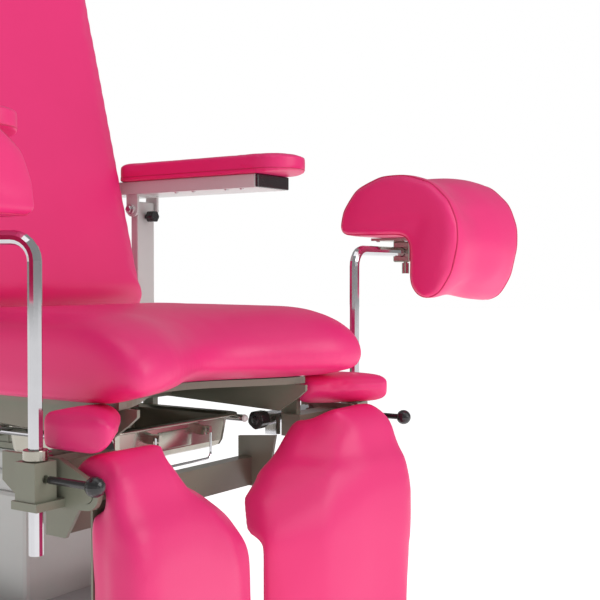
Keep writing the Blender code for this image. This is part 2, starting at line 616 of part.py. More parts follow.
# ---- arm rests ---------------------------------------------------------------------------------------
def arm_rest(side, s):
    y, z = ARM_PIVOT
    body("armrest_" + side, "seat", (s * ARM_KNOB_X, y, z))
    near, far = span(s, ARM_X0, ARM_X1)
    bar = box(f"armrest_bar_{side}", (near, 0.0765, ARM_LOW), (far, 0.470, ARM_HIGH), PAINT, 0.0025)
    cheeks = []
    for x in (0.3058, 0.3642):
        sheet = [(y - 0.015, ARM_LOW + 0.002), *arc(y, z, 0.015, 180, 360, 9), (y + 0.015, ARM_LOW + 0.002)]
        cheeks.append(slab("cheek", sheet, s * x - 0.0028, s * x + 0.0028, "X"))
    near, far = span(s, 0.3025, 0.3675)
    web = box("web", (near, y - 0.0145, ARM_LOW - 0.004), (far, y + 0.0145, ARM_LOW + 0.001))
    bolt = rod("bolt", (min(s * 0.299, s * 0.371), y, z), 0.072, 0.0050, "X", sides=16)
    head = rod("bolt_head", (min(s * 0.297, s * 0.3035), y, z), 0.0065, 0.0090, "X", sides=16)
    carry("armrest_" + side, weld(bar, [*cheeks, web, bolt, head]))

    near, far = span(s, ARM_X0 + 0.0005, ARM_X1 - 0.0005)
    low, high = ARM_LOW + 0.0005, ARM_HIGH - 0.0005
    cap = box(f"armrest_end_cap_{side}", (near, 0.0700, low), (far, 0.0761, high), BLACK, 0.002)
    carry("armrest_" + side, cap)

    low, high, middle = 0.292, 0.411, 0.3515
    half = (high - low) / 2
    plan = [(high, 0.385), (high - 0.015, 0.400), (low + 0.015, 0.400), (low, 0.385)]
    plan += [(middle + u, v) for u, v in arc(0, ARM_TIP_Y + half, half, 180, 360, 13)]
    plan = [(s * x, v) for x, v in plan]
    pad = slab(f"armrest_pad_{side}", plan, ARM_HIGH + GAP, ARM_HIGH + 0.0345, "Z", PINK)
    carry("armrest_" + side, rounded(pad, 0.011, 3, 60))

    body("armrest_knob_" + side, "seat", (s * ARM_KNOB_X, POST_Y0, ARM_KNOB_Z))
    start = (s * ARM_KNOB_X, POST_Y0 - 0.026, ARM_KNOB_Z)
    knob = lobed(f"armrest_knob_{side}", start, "Y", 0.0118, 0.017, BLACK)
    stem = rod("stem", (s * ARM_KNOB_X, POST_Y0 - 0.012, ARM_KNOB_Z), 0.018, 0.0038, "Y", sides=12)
    carry("armrest_knob_" + side, weld(knob, [stem]))


# ---- knee crutches -------------------------------------------------------------------------------------
def crutch(side, s):
    """Rod, clamp and knee pad, swinging on a collar that stands on the frame's socket."""
    x, y = s * ROD_X, ROD_Y
    body("crutch_collar_" + side, "seat", (x, y, RIM_Z + 0.0045))
    bodies["crutch_collar_" + side][0].rotation_euler.z = CRUTCH_REST[side]
    collar = rod(f"crutch_collar_{side}", (x, y, RIM_Z + 0.0045), 0.014, 0.0160, "Z", STEEL, sides=24)
    bore = rod("collar_bore", (x, y, RIM_Z), 0.03, ROD_R + 0.0006, "Z", sides=24)
    carry("crutch_collar_" + side, cut(rounded(collar, 0.0012), [bore]))

    body("socket_knob_" + side, "seat", (x, y - 0.018, SOCKET_KNOB_Z))
    ball_r, stem_r, stem = 0.013, 0.0050, 0.078
    turns = [math.radians(18 * i) for i in range(1, 8)]
    profile = [(0, ball_r), *[(ball_r * math.sin(a), ball_r * math.cos(a)) for a in turns]]
    profile += [(stem_r, -0.0120), (stem_r, -stem), (0, -stem)]
    knob = turned(f"socket_knob_{side}", profile, (x, SOCKET_KNOB_Y, SOCKET_KNOB_Z), "-Y", BLACK, 20)
    carry("socket_knob_" + side, knob)

    body("crutch_rod_" + side, "crutch_collar_" + side, (x, y, RIM_Z - 0.02))
    bend = 0.030
    path = [(x, y, RIM_Z - 0.115), (x, y, ROD_Z - bend)]
    path += [(s * px, y, pz) for px, pz in arc(ROD_X + bend, ROD_Z - bend, bend, 180, 90, 7)[1:]]
    path += [(s * 0.628, y, ROD_Z)]
    carry("crutch_rod_" + side, wire(f"crutch_rod_{side}", path, ROD_R, CHROME, 3))

    body("crutch_" + side, "crutch_rod_" + side, (s * CLAMP_X, y, ROD_Z))
    cx = s * CLAMP_X
    near, far = (cx - 0.018, y - 0.019, ROD_Z - 0.020), (cx + 0.018, y + 0.019, ROD_Z + 0.0215)
    clamp = box(f"crutch_clamp_{side}", near, far, STEEL, 0.003)
    near, far = span(s, CLAMP_X - 0.085, CLAMP_X + 0.060)
    saddle = box("saddle", (near, y - 0.065, ROD_Z + 0.0205), (far, y + 0.030, ROD_Z + 0.0255))
    bore = rod("clamp_bore", (cx - 0.03, y, ROD_Z), 0.06, ROD_R + 0.0005, "X", sides=24)
    tap = rod("clamp_tap", (cx, y, ROD_Z - 0.03), 0.018, 0.0045, "Z", sides=12)
    carry("crutch_" + side, cut(weld(clamp, [saddle]), [bore, tap]))

    body("clamp_screw_" + side, "crutch_" + side, (cx, y, ROD_Z - 0.020))
    screw = rod(f"clamp_screw_{side}", (cx, y, ROD_Z - 0.0425), 0.021, 0.0072, "Z", STEEL, 20)
    shank = rod("shank", (cx, y, ROD_Z - 0.024), 0.0105, 0.0040, "Z", sides=12)
    carry("clamp_screw_" + side, weld(screw, [shank]))

    low = ROD_Z + 0.0262
    hook = [
        (-0.040, low + 0.014), (-0.048, low), (-0.186, low), (-0.188, low - 0.090), (-0.205, low - 0.112),
        (-0.225, low - 0.117), (-0.250, low - 0.106), (-0.272, low - 0.070), (-0.283, low - 0.020),
        (-0.282, low + 0.020), (-0.265, low + 0.060), (-0.230, low + 0.092), (-0.180, low + 0.107),
        (-0.125, low + 0.107), (-0.075, low + 0.088), (-0.045, low + 0.048),
    ]
    near, far = span(s, CRUTCH_X0, CRUTCH_X1)
    pad = slab(f"crutch_pad_{side}", hook, near, far, "X", PINK)
    carry("crutch_" + side, rounded(pad, 0.008, 2, 70))


# ---- leg rests --------------------------------------------------------------------------------------------
def leg_rest(side, s):
    y, z = LEG_PIVOT
    body("leg_rest_" + side, "seat", (s * 0.28, y, z))
    foot = RIM_Z - LEG_LONG
    outer, hook = 0.345, 0.222
    levels = (
        # height, inner x, inner front y, outer front y, rear y inside, rear y outside
        (0.0122, 0.2185, -0.1585, -0.159, -0.1410, -0.1410),
        (0.0050, 0.2130, -0.150, -0.177, -0.1230, -0.1230),
        (-0.0060, 0.206, -0.120, -0.1892, -0.1000, -0.1108),
        (-0.0120, 0.198, -0.106, -0.194, -0.072, -0.1060),
        (-0.0180, 0.190, -0.104, -0.1970, -0.072, -0.1037),
        (-0.0245, 0.182, -0.104, -0.200, -0.072, -0.1016),
        (-0.0257, 0.181, -0.104, -0.2003, -0.072, -0.163),
        (-0.037, 0.166, -0.104, -0.203, -0.072, -0.163),
        (-0.0605, 0.138, -0.105, -0.213, -0.072, -0.163),
        (-0.0625, 0.134, -0.106, -0.214, -0.072, -0.1385),
        (-0.078, 0.102, -0.110, -0.226, -0.072, -0.1385),
        (-0.120, 0.045, -0.125, -0.236, -0.078, -0.1385),
        (-0.165, 0.022, -0.148, -0.238, -0.100, -0.1385),
        (-0.180, 0.018, -0.150, -0.238, -0.1385, -0.1385),
        (-0.340, 0.018, -0.158, -0.232, -0.1385, -0.1385),
        (0.025 - LEG_LONG, 0.022, -0.160, -0.218, -0.1385, -0.1385),
        (-LEG_LONG, 0.040, -0.160, -0.195, -0.1480, -0.1480),
    )
    rings = []
    for height, inner, inner_y, front, rear_in, rear_out in levels:
        deep = rear_out - front
        knee = (0.236, front + min(0.018, 0.4 * deep))
        middle = (inner + 0.45 * (knee[0] - inner), 0.25 * inner_y + 0.75 * knee[1])
        ring = [
            (inner, rear_in), (hook, rear_in - 0.0001), (hook + 0.0001, rear_out), (outer, rear_out),
            (outer, front + min(0.018, 0.7 * deep)), (outer - 0.015, front),
            (0.285, front + min(0.010, 0.25 * deep)), knee, middle, (inner, inner_y),
        ]
        rings.append([(s * px, py, RIM_Z + height) for px, py in ring])
    carry("leg_rest_" + side, loft(f"leg_cushion_{side}", rings, PINK))

    near, far = span(s, 0.2240, 0.359)
    frame = rod(f"leg_frame_{side}", (near, y, z), far - near, 0.0105, "X", PLATE, 20)
    near, far = span(s, 0.225, 0.335)
    riser = box("riser", (near, -0.1450, RIM_Z - 0.060), (far, -0.1340, z))
    sheet = box("sheet", (near, -0.1380, foot + 0.050), (far, -0.1345, RIM_Z - 0.0592))
    near, far = span(s, 0.050, 0.325)
    lower = box("lower_sheet", (near, -0.1380, foot + 0.040), (far, -0.1345, RIM_Z - 0.185))
    carry("leg_rest_" + side, weld(frame, [riser, sheet, lower]))

    ky, kz = LOCK_BAR
    body("leg_knob_" + side, "seat", (s * 0.2, ky, kz))
    near, far = span(s, 0.181, 0.2045)
    knob = lobed(f"leg_knob_{side}", (near, ky, kz), "X", 0.0165, far - near, BLACK, 5)
    near, far = span(s, 0.203, 0.2215)
    stem = rod("stem", (near, ky, kz), far - near, 0.0050, "X", sides=12)
    carry("leg_knob_" + side, weld(knob, [stem]))


base()
column()
seat()
drives()
drain_pan()
back()
for side_name, sign in SIDES:
    arm_rest(side_name, sign)
    crutch(side_name, sign)
    leg_rest(side_name, sign)
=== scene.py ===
"""Looks of the examination recliner: upholstery, welts, fastenings and finishes on the frame."""
import json
import math

import bpy
from mathutils import Matrix, Vector


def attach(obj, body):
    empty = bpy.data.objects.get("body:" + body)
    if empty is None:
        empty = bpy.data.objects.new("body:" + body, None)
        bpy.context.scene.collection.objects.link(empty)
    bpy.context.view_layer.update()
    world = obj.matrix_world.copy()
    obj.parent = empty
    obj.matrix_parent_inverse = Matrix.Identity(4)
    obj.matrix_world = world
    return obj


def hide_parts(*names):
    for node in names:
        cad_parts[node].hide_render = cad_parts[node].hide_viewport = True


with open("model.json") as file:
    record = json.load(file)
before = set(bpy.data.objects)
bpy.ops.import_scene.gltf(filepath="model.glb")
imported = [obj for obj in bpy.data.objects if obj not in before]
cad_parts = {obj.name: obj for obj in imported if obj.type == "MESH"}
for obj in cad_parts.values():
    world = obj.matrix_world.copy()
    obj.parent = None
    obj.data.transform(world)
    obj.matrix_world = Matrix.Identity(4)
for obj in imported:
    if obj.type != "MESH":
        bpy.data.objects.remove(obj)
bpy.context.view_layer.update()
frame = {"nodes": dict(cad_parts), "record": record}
nodes = frame["nodes"]

SEAT_RIM = 0.470            # drain pan rim above the floor
PAN_FRONT = -0.2185         # front rim of the drain pan along Y
SIDES = (("left", 1), ("right", -1))
ROD = (0.385, -0.089)       # knee crutch rod, seen from the pan rim
PARKED = math.radians(-70.7)

WAVE_HALF, WAVE_DEEP = 0.250, 0.105      # drawn-back middle of the seat's front edge
ARM_X, ARM_PIVOT_Y, ARM_PIVOT_Z = 0.335, 0.390, 0.372
LEG_HINGE = (0, -0.150, -0.037)


def at(x, y, z):
    """A place given from the middle of the pan's front rim."""
    return Vector((x, y + PAN_FRONT, z + SEAT_RIM))


# ---- handling --------------------------------------------------------------------------------
def deselect():
    bpy.ops.object.select_all(action="DESELECT")


def take(piece):
    deselect()
    piece.select_set(True)
    bpy.context.view_layer.objects.active = piece


def settle(piece):
    take(piece)
    bpy.ops.object.transform_apply(location=True, rotation=True, scale=True)


def apply_all(piece):
    take(piece)
    for step in list(piece.modifiers):
        bpy.ops.object.modifier_apply(modifier=step.name)


def shade(piece, angle=40):
    take(piece)
    bpy.ops.object.shade_smooth_by_angle(angle=math.radians(angle))


def ease(piece, width, segments=3, angle=30):
    """Round the edges that turn by more than angle."""
    step = piece.modifiers.new("eased", "BEVEL")
    step.width, step.segments = width, segments
    step.limit_method, step.angle_limit = "ANGLE", math.radians(angle)
    apply_all(piece)
    shade(piece)
    return piece


def carve(piece, cutter, how="DIFFERENCE"):
    step = piece.modifiers.new("carve", "BOOLEAN")
    step.operation, step.solver, step.object = how, "EXACT", cutter
    apply_all(piece)
    bpy.data.objects.remove(cutter, do_unlink=True)
    return piece


def join(name, first, *others):
    deselect()
    for piece in (first, *others):
        piece.select_set(True)
    bpy.context.view_layer.objects.active = first
    bpy.ops.object.join()
    first.name = name
    return first


def finish(piece, body, material):
    """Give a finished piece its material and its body."""
    piece.data.materials.clear()
    piece.data.materials.append(material)
    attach(piece, body)
    return piece


# ---- starting shapes -------------------------------------------------------------------------
def block(name, low, high):
    deselect()
    low, high = Vector(low), Vector(high)
    bpy.ops.mesh.primitive_cube_add(size=1, location=(low + high) / 2, scale=high - low)
    piece = bpy.context.object
    piece.name = name
    settle(piece)
    return piece


def turned(name, profile, steps=32, centre=(0, 0, 0)):
    """Spin a half section, (radius, height) from end to end, round the vertical."""
    deselect()
    bpy.ops.mesh.primitive_plane_add(size=1)
    piece = bpy.context.object
    piece.name = name
    bpy.ops.object.mode_set(mode="EDIT")
    bpy.ops.mesh.select_all(action="SELECT")
    bpy.ops.mesh.delete(type="VERT")
    bpy.ops.object.mode_set(mode="OBJECT")
    points = [(r, 0, h) for r, h in profile]
    piece.data.from_pydata(points, [(i, i + 1) for i in range(len(points) - 1)], [])
    bpy.ops.object.mode_set(mode="EDIT")
    bpy.ops.mesh.select_all(action="SELECT")
    bpy.ops.mesh.spin(steps=steps, angle=2 * math.pi, center=(0, 0, 0), axis=(0, 0, 1))
    bpy.ops.mesh.select_all(action="SELECT")
    bpy.ops.mesh.remove_doubles(threshold=1e-6)
    bpy.ops.mesh.normals_make_consistent(inside=False)
    bpy.ops.object.mode_set(mode="OBJECT")
    piece.location = centre
    settle(piece)
    shade(piece, 35)
    return piece


def wire(name, points, radius, closed=False):
    """A round wire along points."""
    curve = bpy.data.curves.new(name, "CURVE")
    curve.dimensions, curve.bevel_depth, curve.bevel_resolution = "3D", radius, 3
    curve.use_fill_caps = not closed
    spline = curve.splines.new("POLY")
    spline.points.add(len(points) - 1)
    for knot, place in zip(spline.points, points):
        knot.co = (*place, 1)
    spline.use_cyclic_u = closed
    piece = bpy.data.objects.new(name, curve)
    bpy.context.collection.objects.link(piece)
    take(piece)
    bpy.ops.object.convert(target="MESH")
    shade(piece, 60)
    return piece


# ---- upholstery ------------------------------------------------------------------------------
def upholstery(node, name, voxel=0.007, rounds=14, lengthwise=True):
    """A welded copy of a CAD cushion, evened out by a voxel remesh, its corners softened."""
    piece = bpy.data.objects.new(name, nodes[node].data.copy())
    piece.matrix_world = nodes[node].matrix_world
    bpy.context.collection.objects.link(piece)
    piece.hide_render = False
    settle(piece)
    bpy.ops.object.mode_set(mode="EDIT")
    bpy.ops.mesh.select_all(action="SELECT")
    bpy.ops.mesh.remove_doubles(threshold=1e-5)
    bpy.ops.object.mode_set(mode="OBJECT")
    even = piece.modifiers.new("even", "REMESH")
    even.mode, even.voxel_size = "VOXEL", voxel
    soften = piece.modifiers.new("soften", "SMOOTH")
    soften.factor, soften.iterations = 0.5, rounds
    soften.use_x = lengthwise
    apply_all(piece)
    return piece


def reshape(piece, change):
    """Move every point of a piece by a rule of its place."""
    for point in piece.data.vertices:
        point.co = change(point.co)
    piece.data.update()


def stuff(piece, pressure=4.0, limit=0.010, give=lambda place: 1.0, settle_rounds=3):
    """Blow the cover out over its foam with a short cloth simulation, no point past limit."""
    rest = [point.co.copy() for point in piece.data.vertices]
    cloth = piece.modifiers.new("cover", "CLOTH")
    cover = cloth.settings
    cover.quality = 4
    cover.use_pressure, cover.uniform_pressure_force = True, pressure
    cover.effector_weights.gravity = 0
    cover.tension_stiffness = cover.compression_stiffness = 12
    cover.bending_stiffness = 1.5
    cloth.point_cache.frame_start, cloth.point_cache.frame_end = 1, 20
    for moment in range(1, 21):
        bpy.context.scene.frame_set(moment)
    blown = piece.evaluated_get(bpy.context.evaluated_depsgraph_get())
    places = [point.co.copy() for point in blown.data.vertices]
    piece.modifiers.remove(cloth)
    bpy.context.scene.frame_set(1)
    for point, old, new in zip(piece.data.vertices, rest, places):
        move = new - old
        if move.length > limit:
            move *= limit / move.length
        point.co = old + move * give(old)
    calm = piece.modifiers.new("calm", "SMOOTH")
    calm.factor, calm.iterations = 0.5, settle_rounds
    fine = piece.modifiers.new("fine", "SUBSURF")
    fine.levels = fine.render_levels = 1
    apply_all(piece)
    take(piece)
    bpy.ops.object.shade_smooth()
    return piece


def mirrored(piece, name):
    """The right hand twin of a left hand piece."""
    twin = bpy.data.objects.new(name, piece.data.copy())
    bpy.context.collection.objects.link(twin)
    twin.data.transform(Matrix.Scale(-1, 4, (1, 0, 0)))
    twin.data.flip_normals()
    return twin


def park(piece):
    """Swing a right hand crutch piece to where it is parked."""
    x, y, z = at(-ROD[0], ROD[1], 0)
    swing = Matrix.Rotation(PARKED, 4, "Z") @ Matrix.Translation((-x, -y, 0))
    piece.data.transform(Matrix.Translation((x, y, 0)) @ swing)
    return piece


def welt(piece, name, through, normal, radius=0.0021):
    """Piping sewn round a cushion where a plane meets it."""
    ring = bpy.data.objects.new(name, piece.data.copy())
    bpy.context.collection.objects.link(ring)
    take(ring)
    bpy.ops.object.mode_set(mode="EDIT")
    bpy.ops.mesh.select_all(action="SELECT")
    bpy.ops.mesh.bisect(plane_co=through, plane_no=normal, clear_inner=True, clear_outer=True)
    bpy.ops.mesh.select_all(action="SELECT")
    bpy.ops.mesh.remove_doubles(threshold=0.0015)
    bpy.ops.mesh.vertices_smooth(factor=0.5, repeat=10)
    bpy.ops.object.mode_set(mode="OBJECT")
    bpy.ops.object.convert(target="CURVE")
    ring.data.bevel_depth, ring.data.bevel_resolution = radius, 2
    bpy.ops.object.convert(target="MESH")
    shade(ring, 70)
    return ring


# ---- finishes --------------------------------------------------------------------------------
def group(name, inputs, outputs):
    """An empty effect shared by materials, with its named sockets."""
    tree = bpy.data.node_groups.new(name, "ShaderNodeTree")
    for label, kind, value in inputs:
        socket = tree.interface.new_socket(label, in_out="INPUT", socket_type=kind)
        socket.default_value = value
    for label, kind in outputs:
        tree.interface.new_socket(label, in_out="OUTPUT", socket_type=kind)
    return tree, tree.nodes.new("NodeGroupInput"), tree.nodes.new("NodeGroupOutput")


def maths(tree, how, a, b=None, clamp=False):
    step = tree.nodes.new("ShaderNodeMath")
    step.operation, step.use_clamp = how, clamp
    for socket, value in zip(step.inputs, (a, b)):
        if value is None:
            continue
        if isinstance(value, (int, float)):
            socket.default_value = value
        else:
            tree.links.new(value, socket)
    return step.outputs[0]


def noise(tree, vector, scale, detail=3.0, rough=0.5):
    step = tree.nodes.new("ShaderNodeTexNoise")
    step.inputs["Detail"].default_value, step.inputs["Roughness"].default_value = detail, rough
    tree.links.new(vector, step.inputs["Vector"])
    if isinstance(scale, (int, float)):
        step.inputs["Scale"].default_value = scale
    else:
        tree.links.new(scale, step.inputs["Scale"])
    return step.outputs[0]


def hide_grain():
    """Pebbled leatherette grain, with slow handling marks."""
    tree, given, made = group(
        "hide_grain",
        (("Vector", "NodeSocketVector", (0, 0, 0)), ("Pebbles", "NodeSocketFloat", 700.0)),
        (("Height", "NodeSocketFloat"), ("Handling", "NodeSocketFloat")))
    cells = tree.nodes.new("ShaderNodeTexVoronoi")
    cells.feature = "SMOOTH_F1"
    cells.inputs["Smoothness"].default_value = 0.6
    tree.links.new(given.outputs["Vector"], cells.inputs["Vector"])
    tree.links.new(given.outputs["Pebbles"], cells.inputs["Scale"])
    creases = noise(tree, given.outputs["Vector"], 160.0, 4.0, 0.6)
    height = maths(tree, "ADD", maths(tree, "MULTIPLY", cells.outputs["Distance"], 0.7), creases)
    tree.links.new(height, made.inputs["Height"])
    tree.links.new(noise(tree, given.outputs["Vector"], 7.0, 3.0), made.inputs["Handling"])
    return tree


def drawn_lines():
    """Fine parallel marks of drawn or brushed metal, and a smear of fingerprints."""
    tree, given, made = group(
        "drawn_lines",
        (("Vector", "NodeSocketVector", (0, 0, 0)), ("Along", "NodeSocketVector", (400, 8, 400))),
        (("Lines", "NodeSocketFloat"), ("Smear", "NodeSocketFloat")))
    stretch = tree.nodes.new("ShaderNodeVectorMath")
    stretch.operation = "MULTIPLY"
    tree.links.new(given.outputs["Vector"], stretch.inputs[0])
    tree.links.new(given.outputs["Along"], stretch.inputs[1])
    tree.links.new(noise(tree, stretch.outputs[0], 1.0, 2.0), made.inputs["Lines"])
    tree.links.new(noise(tree, given.outputs["Vector"], 22.0, 4.0, 0.6), made.inputs["Smear"])
    return tree


def coat_texture():
    """Orange peel of stoved paint or moulded plastic, with faint scuffs."""
    tree, given, made = group(
        "coat_texture",
        (("Vector", "NodeSocketVector", (0, 0, 0)), ("Peel", "NodeSocketFloat", 350.0)),
        (("Height", "NodeSocketFloat"), ("Scuffs", "NodeSocketFloat")))
    peel = noise(tree, given.outputs["Vector"], given.outputs["Peel"], 2.0)
    tree.links.new(peel, made.inputs["Height"])
    patches = noise(tree, given.outputs["Vector"], 14.0, 6.0, 0.7)
    tree.links.new(maths(tree, "POWER", patches, 2.5, True), made.inputs["Scuffs"])
    return tree


HIDE, DRAWN, COAT = hide_grain(), drawn_lines(), coat_texture()


def material(name, effect, tone, worn, rough, metal=0.0,
             bump=0.1, depth=0.0004, coat=0.0, **values):
    """A finish: colour and roughness follow the slow mask, relief follows the fine one."""
    made = bpy.data.materials.new(name)
    made.use_nodes = True
    tree = made.node_tree
    shader = tree.nodes["Principled BSDF"]
    shader.inputs["Metallic"].default_value = metal
    shader.inputs["Coat Weight"].default_value = coat
    shader.inputs["Coat Roughness"].default_value = 0.25
    places = tree.nodes.new("ShaderNodeTexCoord")
    texture = tree.nodes.new("ShaderNodeGroup")
    texture.node_tree = effect
    for label, value in values.items():
        texture.inputs[label].default_value = value
    tree.links.new(places.outputs["Object"], texture.inputs["Vector"])
    fine, slow = texture.outputs[0], texture.outputs[1]
    blend = tree.nodes.new("ShaderNodeMix")
    blend.data_type = "RGBA"
    blend.inputs["A"].default_value, blend.inputs["B"].default_value = (*tone, 1), (*worn, 1)
    tree.links.new(slow, blend.inputs["Factor"])
    tree.links.new(blend.outputs["Result"], shader.inputs["Base Color"])
    spread = tree.nodes.new("ShaderNodeMapRange")
    spread.inputs["To Min"].default_value, spread.inputs["To Max"].default_value = rough
    tree.links.new(slow, spread.inputs["Value"])
    tree.links.new(spread.outputs["Result"], shader.inputs["Roughness"])
    relief = tree.nodes.new("ShaderNodeBump")
    relief.inputs["Strength"].default_value, relief.inputs["Distance"].default_value = bump, depth
    tree.links.new(fine, relief.inputs["Height"])
    tree.links.new(relief.outputs["Normal"], shader.inputs["Normal"])
    return made


PINK = material("pink_leatherette", HIDE, (0.86, 0.028, 0.200), (0.80, 0.022, 0.178), (0.36, 0.50),
                bump=0.22, depth=0.0005, Pebbles=650.0)
WELT = material("pink_welt", HIDE, (0.66, 0.016, 0.120), (0.60, 0.013, 0.105), (0.36, 0.50),
                bump=0.22, depth=0.0004, Pebbles=900.0)
PAINT = material("pale_stoved_paint", COAT, (0.62, 0.64, 0.62), (0.55, 0.57, 0.55), (0.28, 0.46),
                 bump=0.06, Peel=320.0)
OLIVE = material("olive_stoved_paint", COAT, (0.235, 0.245, 0.185), (0.190, 0.198, 0.150),
                 (0.26, 0.46), bump=0.06, Peel=320.0)
CHROME = material("chrome_plate", DRAWN, (0.62, 0.62, 0.64), (0.52, 0.52, 0.54), (0.05, 0.16), 1.0,
                  bump=0.02, depth=0.0001)
STAINLESS = material("stainless_sheet", DRAWN, (0.47, 0.45, 0.39), (0.38, 0.36, 0.31),
                     (0.16, 0.32), 1.0, bump=0.05, depth=0.0001)
ZINC = material("zinc_screws", DRAWN, (0.62, 0.62, 0.62), (0.50, 0.50, 0.50), (0.24, 0.42), 1.0,
                bump=0.05, depth=0.0001)
BLACK = material("black_moulding", COAT, (0.010, 0.010, 0.011), (0.018, 0.018, 0.019), (0.22, 0.42),
                 bump=0.08, coat=0.2, Peel=500.0)
WHITE = material("white_moulding", COAT, (0.84, 0.84, 0.83), (0.76, 0.76, 0.74), (0.30, 0.45),
                 bump=0.05, Peel=400.0)
RUBBER = material("black_rubber", COAT, (0.022, 0.022, 0.022), (0.040, 0.040, 0.038), (0.65, 0.85),
                  bump=0.2, Peel=260.0)
CASE = material("grey_moulding", COAT, (0.42, 0.43, 0.44), (0.36, 0.37, 0.38), (0.40, 0.56),
                bump=0.15, Peel=600.0)

FINISHES = {
    "pink_leatherette": PINK, "grey_white_paint": PAINT, "olive_grey_paint": OLIVE,
    "chrome": CHROME, "stainless_steel": STAINLESS, "black_plastic": BLACK,
    "white_plastic": WHITE, "black_rubber": RUBBER, "grey_case": CASE,
}
for part in frame["record"]["subparts"]:
    node = nodes[part["node"]]
    node.data.materials.clear()
    node.data.materials.append(FINISHES[part["material_slot"]])


# ---- seat ------------------------------------------------------------------------------------
def wave(x):
    """1 in the middle of the drawn-back front edge, 0 where it ends."""
    return (1 + math.cos(math.pi * x / WAVE_HALF)) / 2 if abs(x) < WAVE_HALF else 0.0


def ramp(value, start, end):
    """0 at start to 1 at end, eased."""
    part = max(0.0, min(1.0, (value - start) / (end - start)))
    return part * part * (3 - 2 * part)


def seat():
    cushion = upholstery("seat_cushion", "seat_upholstery", 0.007, 10)
    low = SEAT_RIM + 0.0625

    def nose(place):
        """The front is fuller, above all in its drawn-back middle, where the top sinks a little."""
        y, dip = place.y - PAN_FRONT, wave(place.x)
        front = ramp(y, -0.040 + WAVE_DEEP * dip, -0.158 + WAVE_DEEP * dip)
        reach = front * (0.018 + 0.012 * dip)
        high = max(0.0, min(1.0, (place.z - low) / 0.12))
        sink = 0.010 * dip * ramp(y, 0.110, -0.050) * high
        lift = 0.007 * front * (1 - high) * ramp(0.3 - abs(place.x), 0, 0.1)
        return Vector((place.x, place.y - reach, place.z - (sink - lift)))

    reshape(cushion, nose)
    stuff(cushion, 4.0, 0.006, lambda place: 0.15 if place.z < low + 0.012 else 1.0, 5)
    finish(cushion, "seat", PINK)
    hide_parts("seat_cushion")

    bolster = upholstery("front_bolster_left", "bolster_left", 0.0045, 8)
    tip = SEAT_RIM + 0.045

    def bullnose(place):
        """The front edge closes to a soft nose, the underside hangs a little lower."""
        inside = (place.x - 0.234) * 0.642 + (place.y - PAN_FRONT + 0.092) * 0.766
        part = max(0.0, min(1.0, inside / 0.034))
        size = max(0.30, math.sqrt(1 - (1 - part) ** 2))
        drop = 0.004 * ramp(place.z, SEAT_RIM + 0.045, SEAT_RIM + 0.020)
        return Vector((place.x, place.y, tip + (place.z - tip) * size - drop))

    reshape(bolster, bullnose)
    stuff(bolster, 4.0, 0.004, settle_rounds=3)
    for side, piece in (("left", bolster), ("right", mirrored(bolster, "bolster_right"))):
        finish(piece, "seat", PINK)
        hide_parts("front_bolster_" + side)


def back():
    cushion = upholstery("back_cushion", "back_upholstery", 0.008, 8)
    tilt = math.radians(14)
    facing, hinge = Vector((0, -math.cos(tilt), math.sin(tilt))), at(0, 0.412, 0.085)

    def fuller(place):
        """More foam in front, and square corners down at the seat."""
        corner = ramp(place.z, SEAT_RIM + 0.230, SEAT_RIM + 0.150) * ramp(abs(place.x), 0.20, 0.27)
        wide = Vector((math.copysign(0.010 * corner, place.x), 0, 0))
        return place + wide + facing * 0.012 * ramp((place - hinge).dot(facing), 0.030, 0.080)

    reshape(cushion, fuller)
    stuff(cushion, 4.0, 0.010, lambda place: 1 - 0.7 * ramp(abs(place.x), 0.265, 0.285), 4)
    piping = welt(cushion, "back_welt", hinge + 0.028 * facing, facing, 0.0026)
    finish(cushion, "back", PINK)
    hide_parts("back_cushion")
    finish(piping, "back", WELT)


# ---- leg rests, arm pads and knee pads -------------------------------------------------------
def leg_rests():
    pad = upholstery("leg_cushion_left", "leg_upholstery_left", 0.0045, 34)
    hinge = at(*LEG_HINGE)

    def wing(place):
        """The outer edge stands out beyond its board."""
        y = place.y - PAN_FRONT
        out = ramp(y, -0.165, -0.200) * ramp(place.x, 0.290, 0.340) * ramp(place.z, 0.05, 0.30)
        return Vector((place.x + 0.013 * out, place.y, place.z))

    def clear(place):
        return 0.1 if (place.yz - hinge.yz).length < 0.035 and place.y > hinge.y - 0.016 else 1.0

    reshape(pad, wing)
    stuff(pad, 4.0, 0.0025, clear, 24)
    twin = mirrored(pad, "leg_upholstery_right")
    for side, piece in (("left", pad), ("right", twin)):
        finish(piece, "leg_rest_" + side, PINK)
        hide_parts("leg_cushion_" + side)


def arm_pads():
    pad = upholstery("armrest_pad_left", "arm_upholstery_left", 0.0038, 5)
    top, base = SEAT_RIM + 0.4625, SEAT_RIM + 0.4284

    def rise(place):
        """The underside lifts towards the round front end."""
        front = max(0.0, 1 - (place.y - PAN_FRONT - 0.008) / 0.060)
        under = max(0.0, (top - place.z) / (top - base))
        rear = 0.028 * ramp(place.y - PAN_FRONT, 0.300, 0.400)
        return Vector((place.x, place.y + rear, place.z + 0.008 * front * front * under))

    reshape(pad, rise)
    stuff(pad, 4.0, 0.003, lambda place: 0.1 if place.z < base + 0.006 else 1.0, 3)
    twin = mirrored(pad, "arm_upholstery_right")
    for side, piece in (("left", pad), ("right", twin)):
        seam = welt(piece, "arm_welt_" + side, (0, 0, base + 0.0085), (0, 0, 1), 0.0011)
        finish(seam, "armrest_" + side, WELT)
        finish(piece, "armrest_" + side, PINK)
        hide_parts("armrest_pad_" + side)


